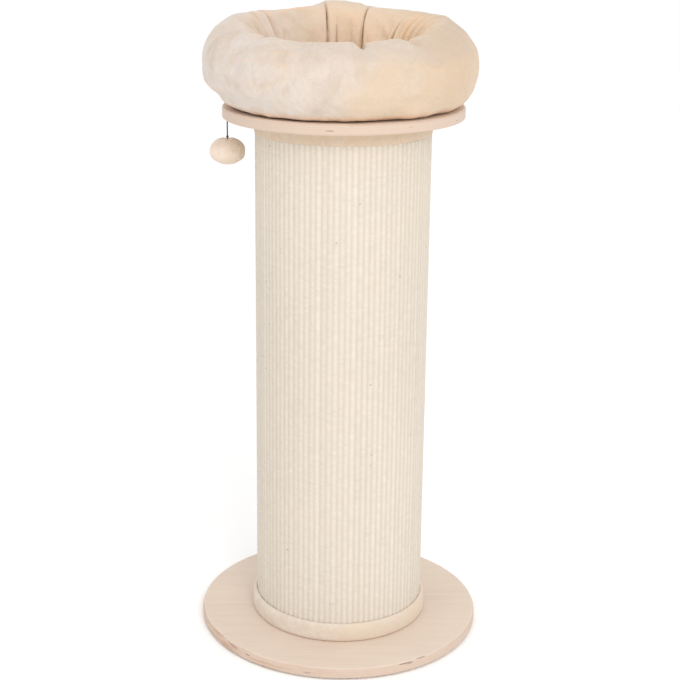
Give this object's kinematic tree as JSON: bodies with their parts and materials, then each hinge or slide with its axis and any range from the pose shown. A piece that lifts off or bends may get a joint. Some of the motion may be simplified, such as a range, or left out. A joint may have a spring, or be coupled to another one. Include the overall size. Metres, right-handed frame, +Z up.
{
  "type": "cat scratching post",
  "caption": "Round plywood base with a thick sisal column, a plywood top plate, a removable ring-shaped plush bed on it and a plush ball on an elastic.",
  "frame": {"origin": "floor level on the column's axis, under the middle of the base", "axes": "+Z up along the column, -Y the front that the picture shows, +X to the right seen from the front"},
  "size_m": [0.4099, 0.41, 0.89],
  "materials": {
    "birch_plywood": "clear matt lacquer",
    "core_plywood": "raw",
    "sisal_weave": "coarse ribbed weave",
    "cream_plush": "short soft pile",
    "stuffing": "fibre filling",
    "base_cloth": "non-woven",
    "hook_and_loop": "hook and loop tape",
    "felt": "pressed felt",
    "paperboard": "spiral-wound tube",
    "zinc_steel": "zinc plated",
    "black_elastic": "braided elastic"
  },
  "bodies": {
    "stand": {"base_plate": "birch_plywood", "floor_pads": "felt", "base_bolts": "zinc_steel", "base_washers": "zinc_steel", "lower_end_board": "core_plywood", "upper_end_board": "core_plywood", "lower_tee_nuts": "zinc_steel", "upper_tee_nuts": "zinc_steel", "lower_end_screws": "zinc_steel", "upper_end_screws": "zinc_steel", "column_tube": "paperboard", "sisal_cover": "sisal_weave", "seam_staples": "zinc_steel", "lower_plush_band": "cream_plush", "upper_plush_band": "cream_plush", "top_plate": "birch_plywood", "top_bolts": "zinc_steel", "hook_patches": "hook_and_loop", "toy_staple": "zinc_steel"},
    "bed": {"loop_patches": "hook_and_loop", "bed_base_cloth": "base_cloth", "bolster_cover": "cream_plush", "bolster_filling": "stuffing", "seat_pad_cover": "cream_plush", "seat_pad_filling": "stuffing"},
    "toy_loop": {"cord_loop": "black_elastic", "loop_knot": "black_elastic"},
    "toy": {"toy_cord": "black_elastic", "cord_knots": "black_elastic", "ball_cover": "cream_plush", "ball_filling": "stuffing"}
  },
  "joints": [
    {"name": "bed_lift", "type": "slide", "parent": "stand", "child": "bed", "axis": [0, 0, 1], "range_m": [0, 0.15]},
    {"name": "toy_swing_side", "type": "hinge", "parent": "stand", "child": "toy_loop", "pos_m": [-0.1616, 0.015, 0.7552], "axis": [0, 1, 0], "range_deg": [-9, 60]},
    {"name": "toy_swing_front", "type": "hinge", "parent": "toy_loop", "child": "toy", "pos_m": [-0.1616, 0.015, 0.75], "axis": [1, 0, 0], "range_deg": [-45, 45]}
  ]
}
